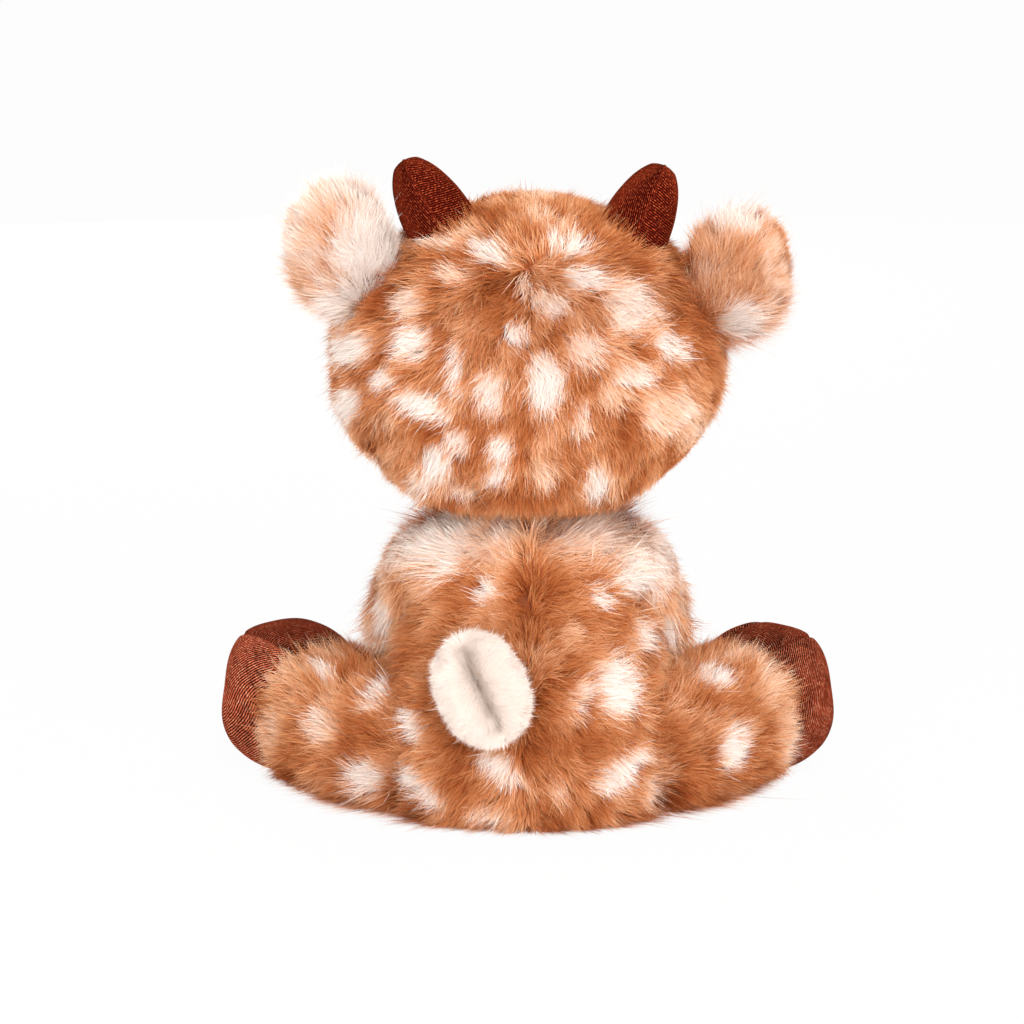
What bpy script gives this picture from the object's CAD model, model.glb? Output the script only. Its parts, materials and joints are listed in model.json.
# %% [markdown]
# # A sitting plush deer
# The toy is sewn from long pile fur fabric with pale spots. Its horns and hooves are ribbed
# velvet, and its tail is short white plush. The camera looks at its back.
# Fur could be painted on smooth forms, but its tufts show at every edge. So each soft form is a
# smooth skin, and the fur on it is many thin mesh strands, gathered into tufts.

import json
import math

import bpy
import numpy as np
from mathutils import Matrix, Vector

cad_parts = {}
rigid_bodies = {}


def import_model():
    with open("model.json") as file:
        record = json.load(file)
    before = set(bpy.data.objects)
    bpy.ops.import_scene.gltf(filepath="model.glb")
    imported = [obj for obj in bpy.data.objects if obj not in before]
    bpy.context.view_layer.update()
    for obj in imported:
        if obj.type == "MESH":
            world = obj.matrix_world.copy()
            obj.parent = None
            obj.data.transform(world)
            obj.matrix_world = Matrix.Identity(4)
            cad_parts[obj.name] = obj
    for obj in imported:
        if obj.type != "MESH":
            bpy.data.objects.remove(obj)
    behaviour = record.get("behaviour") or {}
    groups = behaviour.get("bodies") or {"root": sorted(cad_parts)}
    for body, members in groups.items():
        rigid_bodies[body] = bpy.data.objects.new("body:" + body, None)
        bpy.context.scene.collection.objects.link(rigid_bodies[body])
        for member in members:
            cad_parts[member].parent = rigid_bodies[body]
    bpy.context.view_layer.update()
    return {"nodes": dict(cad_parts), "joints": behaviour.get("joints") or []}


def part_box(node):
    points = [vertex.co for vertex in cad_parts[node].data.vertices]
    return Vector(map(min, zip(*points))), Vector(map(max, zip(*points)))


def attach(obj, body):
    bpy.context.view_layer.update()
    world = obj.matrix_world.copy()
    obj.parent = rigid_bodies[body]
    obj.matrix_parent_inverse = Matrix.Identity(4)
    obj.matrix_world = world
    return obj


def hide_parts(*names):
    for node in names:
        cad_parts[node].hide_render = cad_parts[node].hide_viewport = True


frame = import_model()
pivots = {joint["name"]: np.array(joint["pos_m"]) for joint in frame["joints"]}
MM = 0.001
X_AXIS, Y_AXIS, Z_AXIS = np.eye(3)


def unit(vectors):
    """Each vector over its own length."""
    return vectors / np.maximum(np.linalg.norm(vectors, axis=-1, keepdims=True), 1e-12)


# %% [markdown]
# ## The camera
# A long lens from a little above flattens the toy as in the picture. The same sums also turn a
# place in space into a place in the picture, which later puts the spots where they belong.

# %% The camera
PICTURE = 1024
LENS = 135.0
SENSOR = 36.0
AIM = np.array([6.9, 0.0, 126.7]) * MM
DISTANCE = 1.6
ELEVATION = math.radians(12.0)
BACKWARD = np.array([0.0, math.cos(ELEVATION), math.sin(ELEVATION)])
CAMERA_RIGHT = -X_AXIS
CAMERA_UP = np.array([0.0, -math.sin(ELEVATION), math.cos(ELEVATION)])
CAMERA_PLACE = AIM + BACKWARD * DISTANCE

lens = bpy.data.cameras.new("camera")
lens.lens, lens.sensor_width = LENS, SENSOR
camera = bpy.data.objects.new("camera", lens)
camera.location = CAMERA_PLACE
camera.rotation_euler = (math.pi / 2 - ELEVATION, 0.0, math.pi)
bpy.context.collection.objects.link(camera)
bpy.context.scene.camera = camera


def in_picture(points):
    """Picture places of points: the picture's middle plus side and height, times the lens's scale
    over the depth."""
    seen = points - CAMERA_PLACE
    scale = LENS / SENSOR * PICTURE / (seen @ -BACKWARD)
    across = PICTURE / 2 + scale * (seen @ CAMERA_RIGHT)
    down = PICTURE / 2 - scale * (seen @ CAMERA_UP)
    return np.stack([across, down], axis=-1)


print("camera at", [round(float(c), 3) for c in CAMERA_PLACE])

# %% [markdown]
# ## Nodes
# A finish is a graph of small nodes with links between them. Each node is made with its constants
# in one line, and the links are listed row by row, so that a graph reads like a table.


# %% Making and linking nodes
def set_inputs(node, inputs):
    """Constants on a node's inputs, by socket name or number."""
    for socket, value in inputs.items():
        node.inputs[socket].default_value = value


def put(nodes, kind, inputs=None):
    """A new node of a kind, with its constants."""
    made = nodes.new(kind)
    set_inputs(made, inputs or {})
    return made


def put_maths(nodes, operation, inputs=None):
    """A Math node for one operation."""
    made = put(nodes, "ShaderNodeMath", inputs)
    made.operation = operation
    return made


def put_ramp(nodes, stops):
    """A Color Ramp node with stops of (place, colour)."""
    made = put(nodes, "ShaderNodeValToRGB")
    band = made.color_ramp
    band.elements[0].position, band.elements[0].color = stops[0]
    band.elements[1].position, band.elements[1].color = stops[-1]
    for place, colour in stops[1:-1]:
        band.elements.new(place).color = colour
    return made


# A Mix node's colour sockets share their names with its other sockets, so they go by number.
MIX_A, MIX_B, MIX_COLOUR = 6, 7, 2


def put_mix(nodes, blend="MIX"):
    """A Mix node for colours. A multiplying one works in full."""
    made = put(nodes, "ShaderNodeMix")
    made.data_type, made.blend_type = "RGBA", blend
    if blend == "MULTIPLY":
        made.inputs["Factor"].default_value = 1.0
    return made


def wire(links, *rows):
    """Links, one a row: from a node, its output, to a node, its input."""
    for source, output, target, into in rows:
        links.new(source.outputs[output], target.inputs[into])


# %% Empty materials and groups
def new_material(name):
    """An empty material with its Principled shader: returns material, nodes, links and shader."""
    made = bpy.data.materials.new(name)
    made.use_nodes = True
    nodes = made.node_tree.nodes
    return made, nodes, made.node_tree.links, nodes["Principled BSDF"]


FLOAT, COLOUR, VECTOR = "NodeSocketFloat", "NodeSocketColor", "NodeSocketVector"


def new_group(name, inputs, outputs):
    """A node group with named sockets: returns the group, its nodes, its links and its two ends."""
    group = bpy.data.node_groups.new(name, "ShaderNodeTree")
    for way, sockets in (("INPUT", inputs), ("OUTPUT", outputs)):
        for socket, kind in sockets.items():
            group.interface.new_socket(socket, in_out=way, socket_type=kind)
    nodes = group.nodes
    return group, nodes, group.links, nodes.new("NodeGroupInput"), nodes.new("NodeGroupOutput")


# %% [markdown]
# ## The studio
# A white floor runs to a white background. Only the camera's rays see the floor brightened, so
# that the floor stays white and keeps a soft shadow, and no extra light falls on the toy.

# %% Light
WHITE = (1.0, 1.0, 1.0, 1.0)
WORLD_LIGHT = 0.54
WORLD_COLOUR = (1.0, 0.95, 0.90, 1.0)
LAMPS = (
    # name, place, width, power
    ("key", (-0.7, 1.7, 0.5), 1.2, 19.5),
    ("fill", (0.8, 1.6, 0.35), 1.2, 11.0),
    ("top", (-0.2, 1.0, 1.2), 0.9, 10.5),
    ("face", (0.5, -1.7, 0.5), 1.0, 12.0),
)

scene = bpy.context.scene
scene.view_settings.view_transform = "Standard"
world = bpy.data.worlds.new("studio")
scene.world = world
world.use_nodes = True
nodes = world.node_tree.nodes
around_light = nodes["Background"]
set_inputs(around_light, {"Strength": WORLD_LIGHT, "Color": WORLD_COLOUR})
white_light = put(nodes, "ShaderNodeBackground", {"Color": WHITE})
ray, mix = put(nodes, "ShaderNodeLightPath"), put(nodes, "ShaderNodeMixShader")
wire(
    world.node_tree.links,
    (ray, "Is Camera Ray", mix, "Fac"), (around_light, 0, mix, 1), (white_light, 0, mix, 2),
    (mix, 0, nodes["World Output"], "Surface"),
)

for name, place, width, power in LAMPS:
    lamp = bpy.data.lights.new(name, "AREA")
    lamp.shape, lamp.size, lamp.energy = "DISK", width, power
    holder = bpy.data.objects.new(name, lamp)
    holder.location = place
    toward = Vector([float(c) for c in AIM]) - holder.location
    holder.rotation_euler = toward.to_track_quat("-Z", "Y").to_euler()
    bpy.context.collection.objects.link(holder)
print("lamps:", len(LAMPS))

# %% Floor
FLOOR_HALF = 6.0
FLOOR_PAPER = (0.9, 0.9, 0.9, 1.0)
FLOOR_BRIGHTENING = 0.96

floor_finish, nodes, links, shader = new_material("floor_paper")
set_inputs(shader, {"Base Color": FLOOR_PAPER, "Roughness": 0.9, "Specular IOR Level": 0.0})
glow = put(nodes, "ShaderNodeEmission")
ray, mix = put(nodes, "ShaderNodeLightPath"), put(nodes, "ShaderNodeMixShader")
share = put_maths(nodes, "MULTIPLY", {1: FLOOR_BRIGHTENING})
wire(
    links,
    (ray, "Is Camera Ray", share, 0), (share, 0, mix, "Fac"), (shader, 0, mix, 1),
    (glow, 0, mix, 2), (mix, 0, nodes["Material Output"], "Surface"),
)
floor_mesh = bpy.data.meshes.new("floor")
corners = [(FLOOR_HALF * a, FLOOR_HALF * b, 0.0) for a, b in ((-1, -1), (1, -1), (1, 1), (-1, 1))]
floor_mesh.from_pydata(corners, [], [(0, 1, 2, 3)])
floor = bpy.data.objects.new("floor", floor_mesh)
bpy.context.collection.objects.link(floor)
floor.data.materials.append(floor_finish)
print("floor half width:", FLOOR_HALF)

# %% [markdown]
# ## Colours
# A colour is written as a screen shows it, from 0 to 255, and turned to the linear value that
# the renderer needs.


# %% Colours as the renderer needs them
def shade(red, green, blue):
    """Linear colour of a screen colour: the standard curve, 12.92 below and 2.4 power above."""
    screen = np.array([red, green, blue]) / 255
    low = screen / 12.92
    high = ((screen + 0.055) / 1.055) ** 2.4
    return (*[float(c) for c in np.where(screen < 0.04045, low, high)], 1.0)


# %% [markdown]
# ## Fur as a material
# A real strand is darkest near the cloth and palest at its tip, and each strand has a tone of
# its own. Both numbers are kept in the strand's map, tone across and length up, so the material
# only looks them up. That holds for every fur on the toy, so it is one node group.

# %% The fur's node group
FUR_TONES = (
    (0.0, shade(132, 58, 24)),
    (0.22, shade(184, 98, 50)),
    (0.42, shade(216, 140, 88)),
    (0.62, shade(238, 180, 134)),
    (0.80, shade(250, 213, 184)),
    (1.0, shade(252, 243, 237)),
)
ROOT_TONES = (
    (0.0, shade(100, 36, 12)),
    (0.42, shade(184, 90, 38)),
    (0.70, shade(230, 156, 104)),
    (1.0, shade(252, 229, 212)),
)
STRAND_MIDDLE = 0.45


def make_fur_group():
    """Colour of a strand: two ramps over the tone, one for roots and one for the rest, mixed by
    length. Tip Lift is added to the tone from the strand's middle to its tip, which is paler."""
    inputs = dict.fromkeys(("Tone", "Length", "Root Depth", "Tip Lift"), FLOAT) | {"Tint": COLOUR}
    group, nodes, links, given, out = new_group("fur_colour", inputs, {"Color": COLOUR})
    tones, roots = put_ramp(nodes, FUR_TONES), put_ramp(nodes, ROOT_TONES)
    rise = put(nodes, "ShaderNodeMapRange")
    rise.interpolation_type = "SMOOTHSTEP"
    tip = put(nodes, "ShaderNodeMapRange", {"From Min": STRAND_MIDDLE})
    lifted = put_maths(nodes, "ADD")
    mixed, tinted = put_mix(nodes), put_mix(nodes, "MULTIPLY")
    wire(
        links,
        (given, "Length", tip, "Value"), (given, "Tip Lift", tip, "To Max"),
        (given, "Tone", lifted, 0), (tip, "Result", lifted, 1), (lifted, 0, tones, "Fac"),
        (given, "Tone", roots, "Fac"),
        (given, "Length", rise, "Value"), (given, "Root Depth", rise, "From Max"),
        (rise, "Result", mixed, "Factor"),
        (roots, "Color", mixed, MIX_A), (tones, "Color", mixed, MIX_B),
        (mixed, MIX_COLOUR, tinted, MIX_A), (given, "Tint", tinted, MIX_B),
        (tinted, MIX_COLOUR, out, "Color"),
    )
    return group


fur_group = make_fur_group()
print("group:", fur_group.name)

# %% Fur finishes
STRAND_MAP = "OFBake"
FUR_SHINE = 0.08


def fur_material(name, root_depth, tip_lift, tint, roughness):
    """A fur finish: the strand's own map goes through the fur group into the base colour."""
    made, nodes, links, shader = new_material(name)
    set_inputs(shader, {"Roughness": roughness, "Specular IOR Level": FUR_SHINE})
    strand, parts = put(nodes, "ShaderNodeUVMap"), put(nodes, "ShaderNodeSeparateXYZ")
    strand.uv_map = STRAND_MAP
    colour = put(nodes, "ShaderNodeGroup")
    colour.node_tree = fur_group
    set_inputs(colour, {"Root Depth": root_depth, "Tip Lift": tip_lift, "Tint": tint})
    wire(
        links,
        (strand, "UV", parts, "Vector"), (parts, "X", colour, "Tone"),
        (parts, "Y", colour, "Length"), (colour, "Color", shader, "Base Color"),
    )
    return made


spotted_fur = fur_material("spotted_fur", 0.85, 0.24, WHITE, 0.6)
pale_pile = fur_material("pale_pile", 0.5, 0.1, (1.0, 0.99, 0.96, 1.0), 0.65)
tail_pile = fur_material("tail_pile", 0.1, 0.0, shade(251, 249, 247), 0.7)
print("fur finishes:", spotted_fur.name, pale_pile.name, tail_pile.name)

# %% [markdown]
# ## Cloth under the fur
# The fur's backing is a knitted cloth. It hardly shows, only as deep shade between the tufts, so
# a mottled brown with a fine grain is enough.


# %% Backing cloth
BLOTCH_SCALE, GRAIN_SCALE = 120.0, 1400.0


def backing_material(name, dark, light):
    """Knitted backing: soft noise between two colours, and a fine grain as bump."""
    made, nodes, links, shader = new_material(name)
    shader.inputs["Roughness"].default_value = 0.95
    place = put(nodes, "ShaderNodeTexCoord")
    blotch = put(nodes, "ShaderNodeTexNoise", {"Scale": BLOTCH_SCALE})
    grain = put(nodes, "ShaderNodeTexNoise", {"Scale": GRAIN_SCALE})
    colours = put_ramp(nodes, ((0.35, dark), (0.65, light)))
    bump = put(nodes, "ShaderNodeBump", {"Strength": 0.5, "Distance": 0.4 * MM})
    wire(
        links,
        (place, "Object", blotch, "Vector"), (place, "Object", grain, "Vector"),
        (blotch, "Fac", colours, "Fac"), (colours, "Color", shader, "Base Color"),
        (grain, "Fac", bump, "Height"), (bump, "Normal", shader, "Normal"),
    )
    return made


tan_backing = backing_material("tan_backing", shade(120, 56, 26), shade(160, 86, 46))
pale_backing = backing_material("pale_backing", shade(196, 172, 150), shade(222, 204, 186))
white_backing = backing_material("white_backing", shade(226, 220, 208), shade(240, 236, 228))
print("backings:", tan_backing.name, pale_backing.name, white_backing.name)

# %% [markdown]
# ## Stuffed forms
# Every limb is a tube of cloth that stuffing has rounded. Its shape is a row of ovals along a
# line, so one function of two parameters makes them all: how far along, and how far round.


# %% A smooth curve through a table
def smooth_rows(rows, count):
    """A smooth curve through a table's rows. Distance along the rows is the parameter, and each
    column is a cubic with the harmonic mean of the slopes on its two sides, or none at a turn."""
    rows = np.asarray(rows, float)
    step = np.linalg.norm(np.diff(rows[:, :3], axis=0), axis=1)
    reached = np.concatenate([[0.0], np.cumsum(step)])
    slope = np.diff(rows, axis=0) / step[:, None]
    same = slope[:-1] * slope[1:] > 0
    total = np.where(same, slope[:-1] + slope[1:], 1.0)
    middle = np.where(same, 2 * slope[:-1] * slope[1:] / total, 0.0)
    tangent = np.vstack([slope[:1], middle, slope[-1:]])
    place = np.linspace(0.0, reached[-1], count)
    at = np.clip(np.searchsorted(reached, place, "right") - 1, 0, len(step) - 1)
    wide = step[at][:, None]
    part = ((place - reached[at]) / step[at])[:, None]
    square, cube = part**2, part**3
    return (
        (2 * cube - 3 * square + 1) * rows[at]
        + (cube - 2 * square + part) * wide * tangent[at]
        + (3 * square - 2 * cube) * rows[at + 1]
        + (cube - square) * wide * tangent[at + 1]
    )


# %% A form from rings
TABLE_STEPS = 240


class Plump:
    """A closed stuffed form: rounded ovals on a line from start to end. Each row of the table
    says share of the line, half width, half height and drift, as shares of the full sizes."""

    def __init__(self, start, end, side, half_side, half_up, rows, squareness=2.0):
        self.start = np.asarray(start, float)
        line = np.asarray(end, float) - self.start
        self.length = np.linalg.norm(line)
        self.along = line / self.length
        self.side = unit(side - self.along * (side @ self.along))
        self.up = np.cross(self.along, self.side)
        self.half_side, self.half_up, self.squareness = half_side, half_up, squareness
        rows = [tuple(row) + (0.0,) * (4 - len(row)) for row in rows]
        first, last = (0.0, 0.0, 0.0, rows[0][3]), (1.0, 0.0, 0.0, rows[-1][3])
        self.table = smooth_rows([first, *rows, last], TABLE_STEPS)

    def grid(self, rows, around, grow=0.0):
        """Points and normals. A point is the ring's centre plus side times the rounded cosine
        and up times the rounded sine; grow moves it along its normal."""
        place = np.linspace(0, len(self.table) - 1, rows)
        known = range(len(self.table))
        table = np.stack([np.interp(place, known, column) for column in self.table.T], axis=1)
        angle = np.linspace(0.0, 2 * np.pi, around, endpoint=False)
        power = 2.0 / self.squareness
        across = np.sign(np.cos(angle)) * np.abs(np.cos(angle)) ** power
        over = np.sign(np.sin(angle)) * np.abs(np.sin(angle)) ** power
        centre = self.start + self.along * (self.length * table[:, :1])
        centre = centre + self.up * (self.half_up * table[:, 3:])
        wide = table[:, 1:2] * self.half_side * across
        high = table[:, 2:3] * self.half_up * over
        points = centre[:, None] + wide[..., None] * self.side + high[..., None] * self.up
        normals = grid_normals(points)
        normals[0], normals[-1] = -self.along, self.along
        return points + normals * grow, normals

    def holds(self, points, margin=0.0):
        """True where a point is inside, which is where the powers of its shares of the two half
        sizes sum to less than 1."""
        away = points - self.start
        place = away @ self.along / self.length
        share = self.table[:, 0]
        wide = np.interp(place, share, self.table[:, 1]) * self.half_side + margin
        high = np.interp(place, share, self.table[:, 2]) * self.half_up + margin
        drift = np.interp(place, share, self.table[:, 3]) * self.half_up
        reach = np.abs(away @ self.side / np.maximum(wide, 1e-6)) ** self.squareness
        reach += np.abs((away @ self.up - drift) / np.maximum(high, 1e-6)) ** self.squareness
        ends = margin / self.length
        return (reach < 1) & (place > -ends) & (place < 1 + ends)


# %% Normals of a grid
def grid_normals(points):
    """Normals of a grid that closes round: the cross product of its two differences, outwards."""
    along = np.gradient(points, axis=0)
    around = np.roll(points, -1, axis=1) - np.roll(points, 1, axis=1)
    normals = unit(np.cross(along, around))
    centre = points.mean(axis=1, keepdims=True)
    outward = np.einsum("ijk,ijk->", normals, points - centre)
    return normals if outward > 0 else -normals


# %% [markdown]
# A grid becomes a mesh with one quad for each cell and a fan at each pole. The map counts
# metres along and round the form, so that ribs in the cloth keep their width.

# %% From grid to mesh piece
CLOTH_MAP = "cloth"


def add_piece(name, points, faces, uv, finish, body, map_name=CLOTH_MAP):
    """A mesh piece from a list of points, triangles or quads by corner, and a map place for each
    corner."""
    mesh = bpy.data.meshes.new(name)
    sizes = np.concatenate([np.full(len(f), f.shape[1], np.int32) for f in faces])
    corners = np.concatenate([f.ravel() for f in faces]).astype(np.int32)
    mesh.vertices.add(len(points))
    mesh.vertices.foreach_set("co", np.ascontiguousarray(points, np.float32).ravel())
    mesh.loops.add(len(corners))
    mesh.loops.foreach_set("vertex_index", corners)
    mesh.polygons.add(len(sizes))
    starts = np.concatenate([[0], np.cumsum(sizes)[:-1]]).astype(np.int32)
    mesh.polygons.foreach_set("loop_start", starts)
    mesh.polygons.foreach_set("use_smooth", np.ones(len(sizes), bool))
    mesh.update(calc_edges=True)
    layer = mesh.uv_layers.new(name=map_name)
    layer.data.foreach_set("uv", np.ascontiguousarray(uv, np.float32).ravel())
    mesh.validate()
    made = bpy.data.objects.new(name, mesh)
    bpy.context.collection.objects.link(made)
    mesh.materials.append(finish)
    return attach(made, body)


# %% A closed skin from a grid
def fan_map(turns, heights):
    """Map places of a pole's triangles, from the turn and the height of each corner."""
    turns = np.stack(turns, axis=-1)
    return np.stack([turns, np.broadcast_to(heights, turns.shape)], axis=-1).reshape(-1, 2)


def skin_piece(name, points, finish, body, flat_share=1.0):
    """A closed skin from a grid: quads between its rings, and a fan of triangles at each end. Past
    the flat share the map is the plain view along the axis of the ring there, as for a sole."""
    rows, around = points.shape[:2]
    inner = points[1:-1].reshape(-1, 3)
    places = np.vstack([inner, points[0].mean(axis=0), points[-1].mean(axis=0)])
    ring = np.arange((rows - 2) * around).reshape(rows - 2, around)
    following = np.roll(ring, -1, axis=1)
    low, high = len(inner), len(inner) + 1
    quads = np.stack([ring[:-1], following[:-1], following[1:], ring[1:]], axis=-1).reshape(-1, 4)
    first = np.stack([np.full(around, low), following[0], ring[0]], axis=-1)
    last = np.stack([np.full(around, high), ring[-1], following[-1]], axis=-1)
    middle = points.mean(axis=1)
    reach = np.concatenate([[0], np.cumsum(np.linalg.norm(np.diff(middle, axis=0), axis=1))])
    girth = np.linalg.norm(np.diff(points, axis=1), axis=-1).sum(axis=1).max()
    u = np.arange(around + 1) / around * girth
    cell_u = np.stack([u[:-1], u[1:], u[1:], u[:-1]], axis=-1)
    quad_u = np.broadcast_to(cell_u, (rows - 3, around, 4))
    v = reach[1:-1]
    quad_v = np.stack([v[:-1], v[:-1], v[1:], v[1:]], axis=-1)[:, None].repeat(around, axis=1)
    quad_uv = np.stack([quad_u, quad_v], axis=-1).reshape(-1, 2)
    first_uv = fan_map((u[:-1], u[1:], u[:-1]), (reach[0], v[0], v[0]))
    last_uv = fan_map((u[:-1], u[:-1], u[1:]), (reach[-1], v[-1], v[-1]))
    uv = np.vstack([quad_uv, first_uv, last_uv])
    if flat_share < 1:
        edge = int(flat_share * rows)
        across = unit(points[edge, 0] - middle[edge])
        over = unit(np.cross(points[edge, around // 4] - middle[edge], across))
        plane = np.stack([across, np.cross(over, across)], axis=-1)
        from_row = edge * around
        uv[from_row * 4 : len(quad_uv)] = (places[quads[from_row:]] @ plane).reshape(-1, 2)
        uv[-3 * around :] = (places[last] @ plane).reshape(-1, 2)
    corner = places[quads[:, 0]]
    towards = np.cross(places[quads[:, 1]] - corner, places[quads[:, 3]] - corner)
    outward = corner - middle[1:-2].repeat(around, axis=0)
    faces = [quads, first, last]
    if np.einsum("ij,ij->", towards, outward) < 0:
        parts = zip(np.split(uv, [len(quad_uv), len(quad_uv) + 3 * around]), faces)
        uv = np.vstack([maps.reshape(len(f), -1, 2)[:, ::-1].reshape(-1, 2) for maps, f in parts])
        faces = [f[:, ::-1] for f in faces]
    return add_piece(name, places, faces, uv, finish, body)


# %% [markdown]
# ## Spots
# The pale spots are woven into the fur cloth at fixed places. Their places in the picture are
# listed here by hand: middle, half sizes, turn in degrees, and how white they are. A negative
# whiteness is a deeper brown patch. On the sides that the picture doesn't show, spots are strewn.

# %% Places of the spots in the picture
HEAD_SPOTS = (
    (347, 349, 24, 16, -15, 1.0), (383, 378, 13, 9, -50, 1.0), (346, 405, 14, 20, 10, 0.95),
    (411, 343, 18, 21, 20, 0.95), (406, 306, 15, 17, 0, 0.75), (454, 367, 8, 27, 0, 1.0),
    (489, 394, 15, 22, 0, 0.85), (421, 407, 31, 12, 22, 1.0), (457, 441, 13, 13, 0, 0.9),
    (501, 449, 11, 14, 0, 0.9), (435, 464, 13, 18, -30, 0.95), (497, 477, 14, 10, -40, 0.9),
    (419, 486, 13, 12, 0, 0.75), (462, 492, 18, 6, 0, 0.7), (515, 335, 13, 10, -45, 1.0),
    (524, 290, 7, 17, -25, 0.95), (548, 303, 20, 14, 20, 0.75), (569, 244, 24, 10, 5, 0.95),
    (590, 279, 25, 12, 15, 0.95), (489, 252, 21, 12, 15, 0.95), (438, 242, 20, 6, 5, 0.7),
    (454, 274, 18, 9, 0, 0.7), (631, 306, 27, 27, 0, 0.8), (588, 351, 21, 19, 40, 0.75),
    (671, 346, 20, 12, 38, 0.95), (545, 384, 19, 30, 0, 1.0), (636, 378, 21, 13, -20, 0.75),
    (614, 400, 15, 12, 0, 0.55), (582, 421, 9, 20, 10, 0.7), (668, 413, 27, 25, 0, 0.6),
    (690, 430, 12, 25, 20, 0.55), (596, 483, 12, 20, 15, 0.85), (381, 421, 14, 9, 0, 0.4),
    (534, 193, 22, 8, 0, 0.45), (467, 233, 20, 8, -20, 0.45), (645, 222, 15, 8, 20, 0.45),
    (542, 475, 14, 16, 0, 0.6), (542, 216, 10, 7, 0, 0.5),
    (505, 298, 24, 16, -20, -0.5), (525, 503, 28, 12, 0, -0.6), (697, 320, 10, 40, 0, -0.5),
    (470, 345, 20, 15, 0, -0.3), (400, 372, 26, 8, 10, -0.3), (473, 425, 24, 9, 0, -0.3),
    (522, 425, 5, 85, 0, -0.45),
)
BODY_SPOTS = (
    (487, 592, 14, 8, -45, 0.95), (599, 596, 11, 14, -20, 1.0), (636, 577, 15, 22, -25, 0.95),
    (645, 635, 8, 19, -15, 0.9), (667, 637, 7, 17, -10, 0.85), (618, 685, 20, 33, -8, 1.0),
    (622, 772, 32, 12, -42, 0.95), (504, 772, 31, 11, 33, 0.9), (558, 798, 11, 12, 0, 0.6),
    (418, 788, 31, 11, 45, 0.95), (489, 816, 20, 9, 5, 0.75), (409, 726, 11, 21, -25, 0.95),
    (418, 530, 58, 42, -10, 0.82), (475, 530, 40, 36, 0, 0.6), (443, 566, 26, 13, -35, 0.9),
    (600, 524, 58, 40, 0, 0.72), (655, 545, 30, 52, 0, 0.74), (583, 700, 9, 22, 0, 0.75),
    (400, 524, 24, 16, -30, 0.95), (430, 548, 30, 12, -20, 0.9), (525, 520, 130, 44, 0, 0.42),
    (575, 640, 12, 16, -30, 0.65), (661, 793, 21, 22, 0, 0.6), (575, 536, 34, 10, -8, 0.55),
    (640, 525, 20, 12, 20, 0.5), (386, 623, 10, 26, -28, 0.9), (525, 545, 12, 20, 0, 0.45),
    (525, 612, 20, 16, 0, -0.6), (585, 648, 26, 14, 35, -0.4), (600, 615, 40, 8, 15, -0.3),
    (605, 740, 12, 26, 35, -0.35), (470, 790, 46, 14, 8, -0.3), (530, 765, 14, 26, 0, -0.4),
    (397, 640, 6, 60, 0, -0.5), (395, 690, 8, 26, 0, -0.5), (668, 700, 8, 34, 0, -0.5),
    (522, 512, 8, 10, 0, -0.6), (460, 740, 36, 20, 0, -0.35), (565, 742, 44, 20, 0, -0.4),
    (540, 808, 60, 12, 0, -0.35),
)
LEG_SPOTS = (
    (361, 777, 18, 20, 0, 1.0), (374, 694, 22, 10, -50, 0.95), (321, 726, 15, 18, -30, 1.0),
    (323, 670, 14, 7, 45, 0.85), (716, 677, 20, 10, 10, 0.95), (734, 746, 13, 25, 12, 1.0),
    (345, 702, 26, 12, -42, -0.3), (352, 745, 16, 26, -40, -0.3), (704, 697, 20, 10, 10, -0.45),
    (680, 740, 15, 25, 0, -0.3), (290, 690, 16, 40, 30, 0.35), (778, 700, 14, 40, -25, 0.4),
    (268, 738, 13, 36, 5, 0.5), (282, 672, 26, 13, -50, 0.5), (320, 646, 26, 9, 15, 0.45),
    (790, 735, 13, 36, -5, 0.5), (776, 678, 26, 13, 50, 0.5), (746, 650, 26, 9, -15, 0.45),
    (350, 730, 50, 26, 0, -0.3), (300, 750, 24, 20, 30, -0.3),
)
EAR_SPOTS = (
    (378, 252, 44, 50, 10, 1.0), (352, 302, 40, 24, -20, 1.0), (395, 235, 12, 40, 0, 1.0),
    (290, 225, 12, 36, 20, 0.55), (372, 190, 26, 10, 0, 0.6), (328, 236, 4, 26, 12, -0.6),
    (326, 266, 10, 4, 35, -0.6), (338, 205, 14, 4, -30, -0.4), (745, 322, 24, 20, 0, 0.95),
    (735, 214, 34, 18, 10, 0.85), (712, 255, 18, 26, 20, 0.3), (700, 330, 14, 40, 0, -0.5),
    (775, 270, 14, 40, -10, 0.45),
)
print("spots listed:", len(HEAD_SPOTS) + len(BODY_SPOTS) + len(LEG_SPOTS) + len(EAR_SPOTS))

# %% How white the fur is at a place
SPOT_EDGE = 0.28
SPOT_NOISE = 0.13
PATCH_EDGES = (0.2, 1.5)


def ramp_up(value, low, high):
    """0 below low, 1 above high, and a smooth step between: 3 squares less 2 cubes."""
    part = np.clip((value - low) / (high - low), 0.0, 1.0)
    return part * part * (3 - 2 * part)


def listed_spots(points, spots, rng):
    """Whiteness and depth under the picture's spots. A spot's reach is the length of the place
    in its own turned axes over its half sizes, and its edge is ragged by a little chance."""
    place = in_picture(points)
    ragged = rng.normal(0.0, SPOT_NOISE, len(points))
    pale, deep = np.zeros(len(points)), np.zeros(len(points))
    for x, y, half_x, half_y, turn, white_share in spots:
        angle = math.radians(turn)
        away = place - (x, y)
        own_x = (away[:, 0] * math.cos(angle) + away[:, 1] * math.sin(angle)) / half_x
        own_y = (away[:, 1] * math.cos(angle) - away[:, 0] * math.sin(angle)) / half_y
        reach = np.hypot(own_x, own_y) + ragged
        cover = 1 - ramp_up(reach, 1 - SPOT_EDGE, 1 + SPOT_EDGE)
        if white_share > 0:
            pale = np.maximum(pale, cover * white_share)
        else:
            deep = np.maximum(deep, -white_share * (1 - ramp_up(reach, *PATCH_EDGES)))
    return pale, deep


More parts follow.
